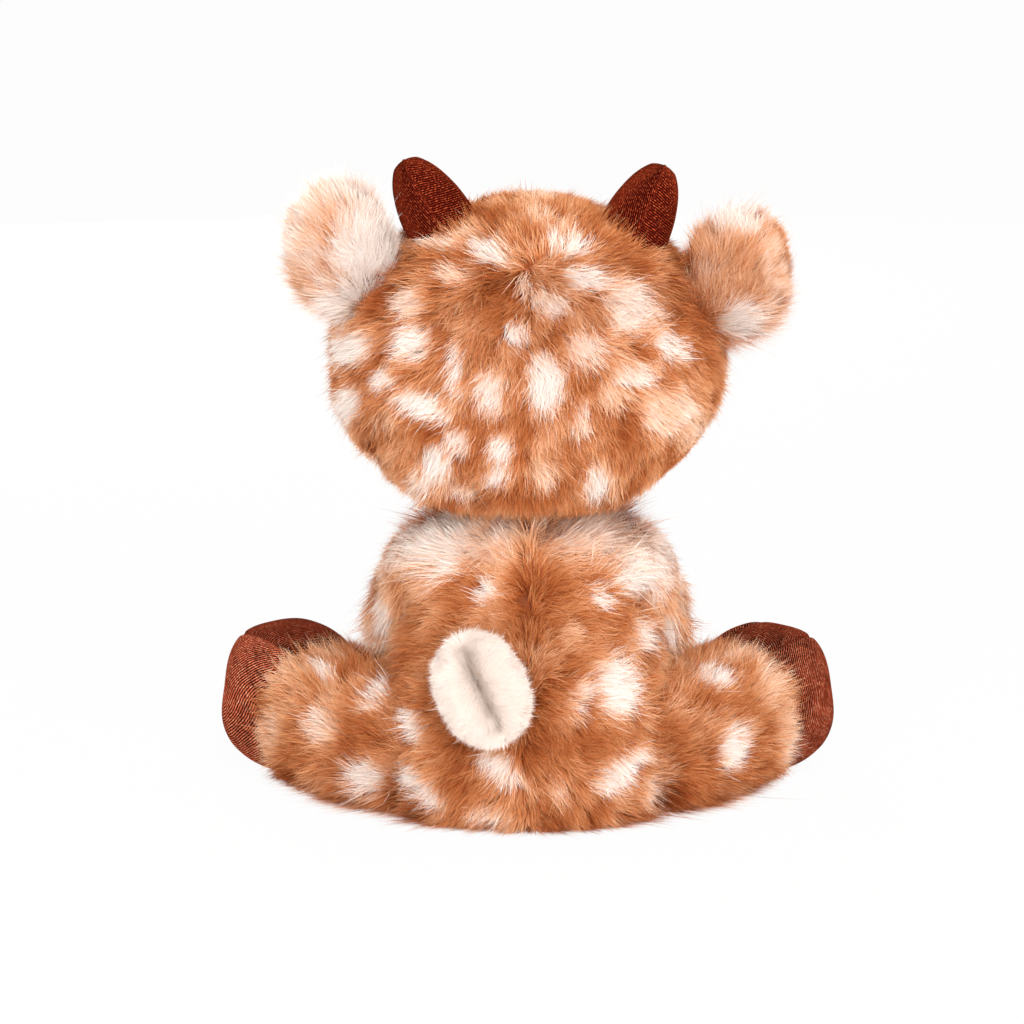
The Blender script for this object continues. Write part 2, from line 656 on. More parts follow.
def strewn_spots(points, centres, directions, sizes, rng):
    """Whiteness under spots strewn on a form: each is an oval along the fur's own direction."""
    ragged = rng.normal(0.0, SPOT_NOISE, len(points))
    pale = np.zeros(len(points))
    for centre, direction, (long, wide) in zip(centres, directions, sizes):
        away = points - centre
        ahead = away @ direction
        aside = np.sqrt(np.maximum((away**2).sum(axis=1) - ahead**2, 0.0))
        reach = np.hypot(ahead / long, aside / wide) + ragged
        pale = np.maximum(pale, 1 - ramp_up(reach, 1 - SPOT_EDGE, 1 + SPOT_EDGE))
    return pale


# %% [markdown]
# ## Strands and tufts
# Roots are strewn evenly over a skin. Round each root a tuft of strands starts side by side, and
# their tips draw together, as brushed pile does. A strand is a thin blade of two triangles, widest
# below its middle: it rises from the skin, then bends over in the direction in which the fur lies.


# %% Strewing roots over a grid
def strew(points, normals, density, rng):
    """Random places on a grid. A cell's chance is its area, half the cross product of its
    diagonals, and a place in it is the mix of its corners by two random shares."""
    next_points, next_normals = np.roll(points, -1, axis=1), np.roll(normals, -1, axis=1)
    corner = (points[:-1], next_points[:-1], next_points[1:], points[1:])
    lean = (normals[:-1], next_normals[:-1], next_normals[1:], normals[1:])
    area = np.linalg.norm(np.cross(corner[2] - corner[0], corner[3] - corner[1]), axis=-1) / 2
    summed = np.cumsum(area.ravel())
    count = int(summed[-1] / MM**2 * density)
    cell = np.searchsorted(summed, rng.random(count) * summed[-1])
    u, v = rng.random((2, count, 1))
    shares = ((1 - u) * (1 - v), u * (1 - v), u * v, (1 - u) * v)
    place = sum(s * c.reshape(-1, 3)[cell] for s, c in zip(shares, corner))
    normal = unit(sum(s * c.reshape(-1, 3)[cell] for s, c in zip(shares, lean)))
    return place, normal


# %% Smooth chance
WAVES = 6


def wander(points, size, seed):
    """A smooth random vector at each point: a sum of sine waves in random directions."""
    rng = np.random.default_rng(seed)
    waves = rng.normal(0.0, 2 * np.pi / size, (WAVES, 3, 3))
    phases = rng.random((WAVES, 3)) * 2 * np.pi
    total = sum(np.sin(points @ wave + phase) for wave, phase in zip(waves, phases))
    return total / math.sqrt(WAVES / 2)


# %% What a coat is
class Coat:
    """How a fur lies: its length and how many strands a square millimetre has, how steeply it
    rises and falls over, how wild it is and how it sways, and what its tufts and tone are."""

    def __init__(self, length, density, rise=0.62, fall=0.30, wild=0.10, sway=0.45, tone=0.29,
                 strands=12, radius=1.15 * MM, width=0.25 * MM, gathering=0.68):
        self.length, self.density, self.rise, self.fall = length, density, rise, fall
        self.wild, self.sway, self.strands, self.radius = wild, sway, strands, radius
        self.width, self.tone, self.gathering = width, tone, gathering


# %% How a strand bends
def bent(share, coat):
    """How far a strand has come out and over at a share of its length: out is rise times the
    share less fall times its square, and over grows from a slow start to the rest."""
    out = coat.rise * share - coat.fall * share**2
    over = (1 - 0.75 * coat.rise) * share + 0.42 * coat.rise * share**2
    return out, over


def on_floor(line, level, lowest):
    """Points kept above the floor. What a point lacks in height goes outwards instead, because
    fur that meets the floor spreads on it."""
    depth = np.maximum(lowest - line[..., 2], 0.0)
    spread = line + level * depth[..., None]
    spread[..., 2] = np.maximum(line[..., 2], lowest)
    return spread


# %% Growing the strands
BLADE_SHARES = (0.0, 0.45, 1.0)
BLADE_CORNERS = np.array([[0, 2, 1], [1, 2, 3]])
BLADE_MAP_WIDTHS = (0.0, -0.003, 0.003, 0.0)
BLADE_MAP_HEIGHTS = (0.02, 0.45, 0.45, 0.98)
STRAND_LENGTHS = (0.72, 1.08)
STRAND_TWIST = 0.3
STRAY_SHARE, STRAY_REACH = 0.08, 2.2
LEAN_BACK = 0.6
FLOOR_CLEARANCE = 0.5 * MM
FLOOR_SPREAD = 4
MOST_STRANDS = 98000


def grow_fur(name, root, normal, flow, lengths, tones, coat, finish, body, rng, lift=0.0):
    """Blades for tufts at root. Root, middle and tip of a strand are the tuft's own bent line plus
    the strand's offset, which shrinks towards the tip by the gathering. Lift says how much
    steeper each tuft stands than the coat."""
    tufts, many = len(root), coat.strands
    side = np.cross(normal, flow)
    aside = rng.normal(0.0, coat.radius, (2, tufts, many, 1))
    offset = aside[0] * flow[:, None] + aside[1] * side[:, None]
    own_length = (lengths[:, None] * rng.uniform(*STRAND_LENGTHS, (tufts, many)))[..., None]
    stray = rng.normal(0.0, coat.wild, (tufts, many, 3))
    stray *= np.where(rng.random((tufts, many, 1)) < STRAY_SHARE, STRAY_REACH, 1.0)
    steeper = np.broadcast_to(np.asarray(lift, float).reshape(-1, 1, 1), (tufts, 1, 1))
    level = unit(normal * (1.0, 1.0, 0.0) + 1e-9)[:, None]
    lines = []
    for share in BLADE_SHARES:
        out, over = bent(share, coat)
        line = root[:, None] + offset * (1 - coat.gathering * share)
        risen = (out + steeper * share) * normal[:, None]
        laid = (over - LEAN_BACK * steeper * share) * flow[:, None]
        line = line + own_length * (risen + laid + stray * share)
        lowest = FLOOR_CLEARANCE * (1 + FLOOR_SPREAD * share * rng.random((tufts, many)))
        lines.append(on_floor(line, level, lowest).reshape(-1, 3))
    start, middle, tip = lines
    ahead = unit(tip - start)
    across = unit(np.cross(ahead, normal.repeat(many, axis=0)))
    twist = rng.normal(0.0, STRAND_TWIST, (len(ahead), 1))
    across = across * np.cos(twist) + np.cross(ahead, across) * np.sin(twist)
    half = across * (coat.width / 2)
    points = np.stack([start, middle - half, middle + half, tip], axis=1)
    count = len(points)
    flat = np.clip(tones.reshape(-1), 0.01, 0.99)[:, None] + np.array(BLADE_MAP_WIDTHS)
    height = np.tile(BLADE_MAP_HEIGHTS, (count, 1))
    uv = np.stack([flat, height], axis=-1)
    parts = max(1, math.ceil(count / MOST_STRANDS))
    for index, chosen in enumerate(np.array_split(np.arange(count), parts)):
        base = np.arange(len(chosen))[:, None, None] * 4
        blades = (base + BLADE_CORNERS).reshape(-1, 3)
        maps = uv[chosen][:, BLADE_CORNERS].reshape(-1, 2)
        label = name if parts == 1 else f"{name}_{index + 1}"
        corners = points[chosen].reshape(-1, 3)
        add_piece(label, corners, [blades], maps, finish, body, STRAND_MAP)
    print(f"{name}: {count} strands in {parts} piece(s)")


# %% Fitting tufts between the neighbours
FITTING_STEPS = 5
LIFT_STEP = 0.2
SHORTENED = 0.6
TIP_OVERLAP = 1.5 * MM


def fit_tufts(root, normal, lying, lengths, lift, coat, neighbours):
    """Keeps tips out of the neighbours. A tuft whose tip is inside one stands up by a step at a
    time, and at the end it is cut shorter. It changes lengths and lift in place."""
    out, over = bent(1.0, coat)
    for step in range(FITTING_STEPS):
        tip = root + lengths[:, None] * ((out + lift) * normal + (over - LEAN_BACK * lift) * lying)
        inside = np.zeros(len(root), bool)
        for other in neighbours:
            inside |= other.holds(tip, -TIP_OVERLAP)
        if step < FITTING_STEPS - 1:
            lift[inside] += LIFT_STEP
        else:
            lengths[inside] *= SHORTENED


# %% Tones of the strands
SEEN_SHARE = 0.7
FACING_LIMIT = 0.12
HIDDEN_SPOT_AREA = 900.0
HIDDEN_SPOT_SIZES = ((7.0, 4.5), (13.0, 7.5))
TONE_SWING, TONE_SIZE = 0.10, 30.0 * MM
TUFT_CHANCE, STRAND_CHANCE = 0.065, 0.055
SPOT_TONE = 0.96
SEEN_SPREAD = 0.6


def strand_tones(root, normal, lying, lengths, lift, coat, spots, seed, rng):
    """A tone for each strand. It is the coat's own plus a smooth swing and some chance, drawn
    towards white by a spot and towards brown by a deep patch, where the strand shows most."""
    out, over = bent(SEEN_SHARE, coat)
    seen = root + lengths[:, None] * ((out + lift * SEEN_SHARE) * normal + over * lying)
    apart = rng.normal(0.0, coat.radius * SEEN_SPREAD, (len(root) * coat.strands, 3))
    seen = seen.repeat(coat.strands, axis=0) + apart
    pale, deep = listed_spots(seen, spots, rng)
    facing = np.einsum("ij,ij->i", normal, unit(CAMERA_PLACE - root)) > FACING_LIMIT
    facing = facing.repeat(coat.strands)
    hidden = max(1, int(len(root) * coat.strands / coat.density / HIDDEN_SPOT_AREA))
    picked = rng.choice(len(root), hidden, replace=False)
    sizes = rng.uniform(*HIDDEN_SPOT_SIZES, (hidden, 2)) * MM
    strewn = strewn_spots(seen, root[picked], lying[picked], sizes, rng)
    pale = np.where(facing, pale, strewn)
    deep = np.where(facing, deep, 0.0)
    swing = TONE_SWING * wander(root, TONE_SIZE, seed + 2)[:, 0]
    tone = coat.tone + swing + rng.normal(0.0, TUFT_CHANCE, len(root))
    tone = tone.repeat(coat.strands) + rng.normal(0.0, STRAND_CHANCE, len(seen))
    tone = tone + (SPOT_TONE - tone) * pale
    return tone * (1 - deep)


# %% Dressing a form with its coat
SKIN_INSET = 4.0 * MM
COAT_GRID = (120, 96)
TUFT_LENGTHS = (0.8, 1.15)
TUFT_TURN = 0.28
SWAY_SIZE = 28.0 * MM


def combed(normals, wish):
    """The wished direction with its part along the normal taken out, at length one."""
    return unit(wish - normals * np.einsum("ij,ij->i", wish, normals)[:, None])


def dress_form(name, form, body, coat, flow, spots, neighbours, seed, finish=spotted_fur,
               keep=None, trim=None, stand=None, inset=SKIN_INSET):
    """A coat on a form. Roots inside a neighbour are left out. Keep picks roots, trim gives a
    share of the length, and stand says how much steeper the fur stands at a root."""
    rng = np.random.default_rng(seed)
    points, normals = form.grid(*COAT_GRID, -inset)
    root, normal = strew(points, normals, coat.density / coat.strands, rng)
    good = root[:, 2] > FLOOR_CLEARANCE
    for other in neighbours:
        good &= ~other.holds(root, -inset)
    if keep is not None:
        good &= keep(root, normal)
    root, normal = root[good], normal[good]
    wish = flow(root, normal)
    lying = combed(normal, unit(wish) + coat.sway * wander(root, SWAY_SIZE, seed + 1))
    turn = rng.normal(0.0, TUFT_TURN, (len(root), 1))
    lying = lying * np.cos(turn) + np.cross(normal, lying) * np.sin(turn)
    lengths = coat.length * rng.uniform(*TUFT_LENGTHS, len(root))
    if trim is not None:
        lengths = lengths * trim(root, normal)
    lift = np.zeros((len(root), 1)) if stand is None else stand(root, normal)[:, None]
    fit_tufts(root, normal, lying, lengths, lift, coat, neighbours)
    tones = strand_tones(root, normal, lying, lengths, lift, coat, spots, seed, rng)
    grow_fur(name, root, normal, lying, lengths, tones, coat, finish, body, rng, lift)


# %% [markdown]
# ## The forms, one by one
# Each form repeats the part's own shape and stands at the part's own joints, so the fur, the
# skin and the solid under them are in one place. A form is given by its two ends, the direction of
# its side, its two half sizes and a table. A table's row is a share of the form's length, then its
# half width and half height there, and for the body its drift backwards.

# %% Rows of the forms
BODY_ROWS = (
    (0.0, 0.66, 0.66, 0.05), (0.035, 0.85, 0.86, 0.04), (0.10, 0.955, 0.96, 0.03),
    (0.22, 1.0, 1.0, 0.02), (0.38, 0.985, 0.985, 0.0), (0.54, 0.93, 0.93, -0.02),
    (0.68, 0.86, 0.86, -0.03), (0.80, 0.81, 0.79, -0.04), (0.89, 0.76, 0.70, -0.05),
    (0.955, 0.65, 0.56, -0.05), (0.99, 0.42, 0.38, -0.05),
)
LEG_ROWS = (
    (0.03, 0.45, 0.45), (0.12, 0.80, 0.82), (0.28, 0.98, 1.0), (0.48, 1.0, 1.0),
    (0.70, 0.93, 1.0), (0.90, 0.82, 0.99),
)
HOOF_ROWS = (
    (0.02, 0.46, 0.46), (0.10, 0.80, 0.80), (0.24, 0.97, 0.97), (0.42, 1.0, 1.0),
    (0.60, 0.96, 0.97), (0.77, 0.83, 0.85), (0.90, 0.60, 0.64), (0.975, 0.32, 0.36),
)
ARM_ROWS = (
    (0.03, 0.48, 0.48), (0.14, 0.82, 0.82), (0.34, 0.97, 0.97), (0.58, 1.0, 1.0),
    (0.80, 0.95, 0.95), (0.95, 0.84, 0.84),
)
HORN_ROWS = (
    (0.0, 1.0, 1.0), (0.32, 1.0, 1.0), (0.50, 0.95, 0.95), (0.66, 0.84, 0.84),
    (0.79, 0.70, 0.70), (0.89, 0.53, 0.53), (0.96, 0.34, 0.34),
)
OVAL_ROWS = (
    (0.03, 0.36, 0.36), (0.13, 0.69, 0.69), (0.29, 0.93, 0.93), (0.50, 1.0, 1.0),
    (0.71, 0.93, 0.93), (0.87, 0.69, 0.69), (0.97, 0.36, 0.36),
)
EYE_ROWS = (
    (0.0, 0.29, 0.29), (0.69, 0.29, 0.29), (0.70, 0.90, 0.90), (0.743, 1.0, 1.0),
    (0.851, 0.93, 0.93), (0.933, 0.69, 0.69), (0.985, 0.36, 0.36),
)
print("rows of the body:", len(BODY_ROWS))

# %% Body, head, neck and muzzle
HEAD_MIDDLE = np.array([0.0, -8.0, 195.0]) * MM
HEAD_HALF = (80.0 * MM, 63.0 * MM, 64.0 * MM)
CROWN_POWER, JOWL_POWER = 1.9, 2.85
HEAD_STEPS = 33


def head_rows():
    """Rows of the head: half width is (1 - |height| ** power) ** (1 / power), with a flatter
    power below the middle than above."""
    rise = np.sin(np.linspace(-0.5, 0.5, HEAD_STEPS)[1:-1] * np.pi)
    power = np.where(rise < 0, JOWL_POWER, CROWN_POWER)
    wide = (1 - np.abs(rise) ** power) ** (1 / power)
    return [(0.5 + h / 2, w, w) for h, w in zip(rise, wide)]


def at(x, y, z):
    """A place given in millimetres."""
    return np.array([x, y, z]) * MM


body_form = Plump(at(0, 0, 0), at(0, 0, 126), X_AXIS, 56 * MM, 49 * MM, BODY_ROWS)
head_ends = [HEAD_MIDDLE + Z_AXIS * HEAD_HALF[2] * way for way in (-1, 1)]
head_form = Plump(*head_ends, X_AXIS, *HEAD_HALF[:2], head_rows())
muzzle_form = Plump(at(0, -42, 175), at(0, -94, 175), X_AXIS, 25 * MM, 20 * MM, OVAL_ROWS)
neck_form = Plump(at(0, -4, 106.5), at(0, -4, 150.5), X_AXIS, 22 * MM, 22 * MM, OVAL_ROWS)
print("head half sizes:", HEAD_HALF)


# %% Legs and arms
def leg_frame(sign):
    """The leg's pivot on the floor, its direction, outwards and forwards, and its side."""
    splay = math.radians(45.0)
    pivot = pivots["leg_splay_left"] * (sign, 1, 1)
    along = np.array([sign * math.sin(splay), -math.cos(splay), 0.0])
    return pivot, along, np.array([sign * math.cos(splay), math.sin(splay), 0.0])


def leg_form(sign):
    """The leg: a squarish tube from inside the hip to inside the hoof."""
    pivot, along, side = leg_frame(sign)
    middle = pivot + Z_AXIS * 27.5 * MM
    ends = middle - along * 22 * MM, middle + along * 80 * MM
    return Plump(*ends, side, 31 * MM, 28 * MM, LEG_ROWS, squareness=2.8)


def hoof_form(sign):
    """The leg's hoof: a squarish cup on the leg's end, turned up a little."""
    pivot, along, side = leg_frame(sign)
    lift = math.radians(12.0)
    heel = pivot + along * 60 * MM + Z_AXIS * 26.5 * MM
    toward = along * math.cos(lift) + Z_AXIS * math.sin(lift)
    toe = heel + toward * 53 * MM
    return Plump(heel, toe, side, 27 * MM, 31 * MM, HOOF_ROWS, squareness=3.0)


def arm_line(sign):
    """The shoulder's pivot, the arm's direction, forwards and down, and its outer side."""
    pivot = pivots["arm_raise_left"] * (sign, 1, 1)
    tilt = math.radians(16.0)
    outward = np.array([sign * math.cos(tilt), 0.0, math.sin(tilt)])
    return pivot, unit(np.array([sign * 6.0, -40.0, -28.0])), outward


def arm_form(sign):
    """The arm: a round tube from inside the shoulder to inside its hoof."""
    pivot, along, outward = arm_line(sign)
    ends = pivot - along * 15 * MM, pivot + along * 58 * MM
    return Plump(*ends, outward, 16.5 * MM, 16.5 * MM, ARM_ROWS)


def arm_hoof_form(sign):
    """The arm's hoof: a round cup on the arm's end."""
    pivot, along, outward = arm_line(sign)
    start = pivot + along * 45 * MM
    return Plump(start, start + along * 32 * MM, outward, 16 * MM, 16 * MM, HOOF_ROWS)


# %% Ears and horns
def ear_line(sign):
    """The ear's root on the head and its direction. The two ears stand a little differently."""
    root = pivots["ear_flop_left" if sign > 0 else "ear_flop_right"]
    rise = math.radians(65.0 if sign > 0 else 60.0)
    return root, np.array([sign * math.cos(rise), 0.0, math.sin(rise)])


def ear_form(sign):
    """The ear: a flattish oval cushion that starts inside the head."""
    root, along = ear_line(sign)
    start = root - along * 9 * MM
    side = np.cross(along, Y_AXIS)
    return Plump(start, start + along * 55 * MM, side, 21.5 * MM, 15 * MM, OVAL_ROWS)


def lining_form(sign):
    """The ear's lining: a thin oval pad on the ear's front."""
    root, along = ear_line(sign)
    start = root + along * 5 * MM - Y_AXIS * 11.5 * MM
    side = np.cross(along, Y_AXIS)
    return Plump(start, start + along * 35 * MM, side, 15 * MM, 6 * MM, OVAL_ROWS)


HORN_BACK = 8 * MM


def horn_form(sign):
    """A horn stands on the head's top at its own distance from the middle, and leans outwards.
    The head's height there is what its own formula gives."""
    spread, lean = (37.5, 30.0) if sign > 0 else (44.0, 25.0)
    along = np.array([sign * math.sin(math.radians(lean)), 0.0, math.cos(math.radians(lean))])
    reach = math.hypot(spread * MM / HEAD_HALF[0], HORN_BACK / HEAD_HALF[1])
    height = HEAD_HALF[2] * (1 - reach**CROWN_POWER) ** (1 / CROWN_POWER)
    top = HEAD_MIDDLE + np.array([sign * spread * MM, HORN_BACK, height])
    base = top - along * 17 * MM
    return Plump(base, base + along * 45 * MM, Y_AXIS, 14.8 * MM, 14.8 * MM, HORN_ROWS)


# %% Tail and eyes
def tail_form():
    """The tail: a flat oval on the back, turned a little to one side and away from the back."""
    tilt, slope = math.radians(26.0), math.radians(19.0)
    pivot = pivots["tail_lift"]
    across = np.array([math.cos(tilt), 0.0, -math.sin(tilt)])
    down = np.array([-math.sin(tilt), 0.0, -math.cos(tilt)])
    along = down * math.cos(slope) + Y_AXIS * math.sin(slope)
    start = pivot - along * 6 * MM + Y_AXIS * 8 * MM
    return Plump(start, start + along * 46 * MM, across, 16.5 * MM, 8 * MM, OVAL_ROWS)


EYE_ASIDE, EYE_HEIGHT = 33 * MM, 4 * MM


def eye_form(sign):
    """A safety eye: its shank runs into the head, and its dome lies on the head's surface."""
    ring = (1 - (EYE_HEIGHT / HEAD_HALF[2]) ** CROWN_POWER) ** (1 / CROWN_POWER)
    deep = HEAD_HALF[1] * math.sqrt(ring**2 - (EYE_ASIDE / HEAD_HALF[0]) ** 2)
    away = np.array([sign * EYE_ASIDE, -deep, EYE_HEIGHT])
    outward = unit(away / np.array(HEAD_HALF) ** 2)
    place = HEAD_MIDDLE + away
    ends = place - outward * 13 * MM, place + outward * 4.5 * MM
    return Plump(*ends, X_AXIS, 7.5 * MM, 7.5 * MM, EYE_ROWS)


# %% All the forms
SIDES = (("left", 1), ("right", -1))


def both(make):
    """A form for each side, by name."""
    return {name: make(sign) for name, sign in SIDES}


legs, hooves = both(leg_form), both(hoof_form)
arms, arm_hooves = both(arm_form), both(arm_hoof_form)
ears, linings, horns, eyes = both(ear_form), both(lining_form), both(horn_form), both(eye_form)
tail = tail_form()
print("horns start at", [horn.start.round(3).tolist() for horn in horns.values()])

# %% [markdown]
# ## Velvet
# The hooves and horns are ribbed velvet: fine ribs catch the light on their crests, and the pile
# shines at the edges. The ribs follow the cloth, so they are counted in metres on the piece's
# own map, bend a little, and break into bright flecks.

# %% The rib group
BEND_SCALE, FLECK_SCALE = 130.0, 900.0
FLECK_FROM, FLECK_GAIN = 0.5, 7.0
ROUGH_GAIN = 1.2


def make_rib_group():
    """Height of a ribbed cloth: a sine over the map's turned axis, bent by noise. Flecks of light
    sit on the crests where a fine noise is high, and the same noise roughens the ribs."""
    inputs = {"Place": VECTOR, "Turn": FLOAT, "Pitch": FLOAT, "Bend": FLOAT}
    outputs = {"Height": FLOAT, "Fleck": FLOAT}
    group, nodes, links, given, out = new_group("velvet_ribs", inputs, outputs)

    def maths(operation, *values):
        """The result of a Math node over links and constants."""
        made = put_maths(nodes, operation)
        for socket, value in zip(made.inputs, values):
            if isinstance(value, float):
                socket.default_value = value
            else:
                links.new(value, socket)
        return made.outputs[0]

    parts = put(nodes, "ShaderNodeSeparateXYZ")
    noise = put(nodes, "ShaderNodeTexNoise", {"Scale": BEND_SCALE, "Detail": 1.0})
    grain = put(nodes, "ShaderNodeTexNoise", {"Scale": FLECK_SCALE, "Detail": 2.0})
    wire(links, *[(given, "Place", node, "Vector") for node in (parts, noise, grain)])
    turn = given.outputs["Turn"]
    across = maths("MULTIPLY", parts.outputs["X"], maths("COSINE", turn))
    along = maths("MULTIPLY", parts.outputs["Y"], maths("SINE", turn))
    bend = maths("MULTIPLY", noise.outputs["Fac"], given.outputs["Bend"])
    place = maths("ADD", maths("ADD", across, along), bend)
    turns = maths("DIVIDE", place, given.outputs["Pitch"])
    wave = maths("SINE", maths("MULTIPLY", turns, 2 * math.pi))
    height = maths("MULTIPLY", maths("ADD", wave, 1.0), 0.5)
    bright = maths("SUBTRACT", grain.outputs["Fac"], FLECK_FROM)
    sharp = put(nodes, "ShaderNodeClamp")
    links.new(maths("MULTIPLY", bright, FLECK_GAIN), sharp.inputs[0])
    rough = maths("MULTIPLY", maths("SUBTRACT", grain.outputs["Fac"], 0.5), ROUGH_GAIN)
    links.new(maths("ADD", height, rough), out.inputs["Height"])
    fleck = maths("MULTIPLY", sharp.outputs[0], maths("POWER", height, 2.0))
    links.new(fleck, out.inputs["Fleck"])
    return group


rib_group = make_rib_group()
print("group:", rib_group.name)

# %% The velvets
NAP, RIB_TURN = "nap", "rib_turn"
HORN_RIBS, HOOF_RIBS, RIB_BEND = 0.95 * MM, 1.15 * MM, 1.2 * MM
VELVET_SHEEN = shade(236, 96, 58)


def velvet_material(name, dark, mid, bright, pitch, fleck_share=0.8):
    """Ribbed velvet: dark between the ribs, mid on them, bright in flecks, with a sheen. Each
    panel is cut its own way, so the piece's attributes say how its ribs turn and how dark it is."""
    made, nodes, links, shader = new_material(name)
    set_inputs(shader, {
        "Roughness": 0.6, "Specular IOR Level": 0.0,
        "Sheen Weight": 0.45, "Sheen Roughness": 0.25, "Sheen Tint": VELVET_SHEEN,
    })
    cloth, ribs = put(nodes, "ShaderNodeUVMap"), put(nodes, "ShaderNodeGroup")
    cloth.uv_map, ribs.node_tree = CLOTH_MAP, rib_group
    set_inputs(ribs, {"Pitch": pitch, "Bend": RIB_BEND})
    turn, nap = put(nodes, "ShaderNodeAttribute"), put(nodes, "ShaderNodeAttribute")
    turn.attribute_name, nap.attribute_name = RIB_TURN, NAP
    colours = put_ramp(nodes, ((0.2, shade(*dark)), (0.8, shade(*mid))))
    soft = put_maths(nodes, "MULTIPLY", {1: fleck_share})
    flecks, napped = put_mix(nodes), put_mix(nodes, "MULTIPLY")
    flecks.inputs[MIX_B].default_value = shade(*bright)
    bump = put(nodes, "ShaderNodeBump", {"Strength": 0.9, "Distance": 0.45 * MM})
    wire(
        links,
        (cloth, "UV", ribs, "Place"), (turn, "Fac", ribs, "Turn"),
        (ribs, "Height", colours, "Fac"), (ribs, "Fleck", soft, 0), (soft, 0, flecks, "Factor"),
        (colours, "Color", flecks, MIX_A), (flecks, MIX_COLOUR, napped, MIX_A),
        (nap, "Color", napped, MIX_B), (napped, MIX_COLOUR, shader, "Base Color"),
        (ribs, "Height", bump, "Height"), (bump, "Normal", shader, "Normal"),
    )
    return made


horn_velvet = velvet_material("horn_velvet", (44, 6, 4), (102, 27, 15), (226, 104, 62), HORN_RIBS)
hoof_velvet = velvet_material("hoof_velvet", (30, 3, 2), (194, 92, 64), (252, 188, 152), HOOF_RIBS)
nose_velvet = velvet_material("nose_velvet", (40, 12, 8), (84, 32, 24), (130, 70, 54), HORN_RIBS,
                              fleck_share=0.3)
print("velvets:", horn_velvet.name, hoof_velvet.name, nose_velvet.name)

# %% [markdown]
# ## Moulded plastic
# The eyes and their washers are moulded plastic. It is almost one colour, with faint clouds, and
# its polish varies a little, so one noise drives both. A clear coat gives the eyes their gloss.


# %% Moulded plastic
CLOUD_SCALE, CLOUD_DARKNESS = 400.0, 0.7
POLISH_SPREAD = (0.8, 1.3)


def plastic_material(name, colour, roughness, coat):
    """Moulded plastic: one colour with faint clouding, and roughness that varies with noise."""
    made, nodes, links, shader = new_material(name)
    shader.inputs["Coat Weight"].default_value = coat
    place = put(nodes, "ShaderNodeTexCoord")
    noise = put(nodes, "ShaderNodeTexNoise", {"Scale": CLOUD_SCALE})
    dim = (*[c * CLOUD_DARKNESS for c in colour[:3]], 1.0)
    colours = put_ramp(nodes, ((0.3, dim), (0.7, colour)))
    ends = {"To Min": roughness * POLISH_SPREAD[0], "To Max": roughness * POLISH_SPREAD[1]}
    spread = put(nodes, "ShaderNodeMapRange", ends)
    wire(
        links,
        (place, "Object", noise, "Vector"), (noise, "Fac", colours, "Fac"),
        (noise, "Fac", spread, "Value"), (colours, "Color", shader, "Base Color"),
        (spread, "Result", shader, "Roughness"),
    )
    return made


eye_gloss = plastic_material("eye_gloss", shade(34, 18, 12), 0.12, 0.6)
washer_gloss = plastic_material("washer_gloss", shade(226, 224, 218), 0.45, 0.0)
print("plastics:", eye_gloss.name, washer_gloss.name)

# %% [markdown]
# ## Skins
# The closed skins carry the fur and stand for the part's soft solids. Each is a padded piece.
# A skin lies a little inside its solid, because the fur stands proud of it.

# %% The skins under the fur
SKIN_ROWS, SKIN_AROUND = 48, 64
EAR_INSET, LINING_INSET, MUZZLE_INSET = 5.0 * MM, 0.5 * MM, 1.0 * MM


def add_skin(name, form, finish, body, nodes, inset=SKIN_INSET):
    """A padded skin from a form, in place of the part's own soft solids."""
    made = skin_piece(name, form.grid(SKIN_ROWS, SKIN_AROUND, -inset)[0], finish, body)
    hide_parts(*nodes)
    return made


add_skin("body_cloth", body_form, tan_backing, "torso",
         ("body_skin", "body_stuffing", "pellet_bag"))
add_skin("head_cloth", head_form, tan_backing, "head", ("head_skin", "head_stuffing"))
add_skin("muzzle_cloth", muzzle_form, pale_backing, "head", ("muzzle",), MUZZLE_INSET)
for name, _ in SIDES:
    for limb, form in (("leg", legs[name]), ("arm", arms[name])):
        add_skin(f"{limb}_cloth_{name}", form, tan_backing, f"{limb}_{name}",
                 (f"{limb}_skin_{name}", f"{limb}_stuffing_{name}"))
    add_skin(f"ear_cloth_{name}", ears[name], tan_backing, f"ear_{name}",
             (f"ear_back_{name}",), EAR_INSET)
    add_skin(f"ear_lining_cloth_{name}", linings[name], pale_backing, f"ear_{name}",
             (f"ear_lining_{name}",), LINING_INSET)
add_skin("neck_cloth", neck_form, tan_backing, "neck", ("neck_plug",))
print("skins: 4 and", 4 * len(SIDES))

# %% [markdown]
# ## The coats
# How fur lies is what makes it look real. On the head it runs away from a whorl high on the back,
# on the body away from the spine and downwards, on the legs from the hip towards the hoof. Each
# function takes all roots with their normals at once. Heights and places in it are in metres on
# the toy, and its shares say how strong each effect is.


# %% The whorl and the foot of the tail
SEARCH_GRID = (140, 140)


def under_pixel(form, x, y):
    """The place on a form's camera side that is nearest to a picture place."""
    points, normals = form.grid(*SEARCH_GRID)
    points, normals = points.reshape(-1, 3), normals.reshape(-1, 3)
    facing = np.einsum("ij,ij->i", normals, unit(CAMERA_PLACE - points)) > 0
    points = points[facing]
    return points[np.argmin(((in_picture(points) - (x, y)) ** 2).sum(axis=1))]


WHORL = under_pixel(head_form, 530, 268)
TAIL_FOOT = under_pixel(body_form, 516, 715)
print("whorl at", WHORL.round(3), "tail foot at", TAIL_FOOT.round(3))


# %% Where the fur runs
def head_flow(points, normals):
    """Away from the whorl, a little down, and away from the centre seam on the back."""
    away = unit(points - WHORL)
    seam = np.sign(points[:, :1]) * np.exp(-np.abs(points[:, :1]) / (9 * MM)) * X_AXIS
    seam = seam * (points[:, 1:2] > 0) * (points[:, 2:] < WHORL[2])
    return away - 0.28 * Z_AXIS + 0.45 * seam


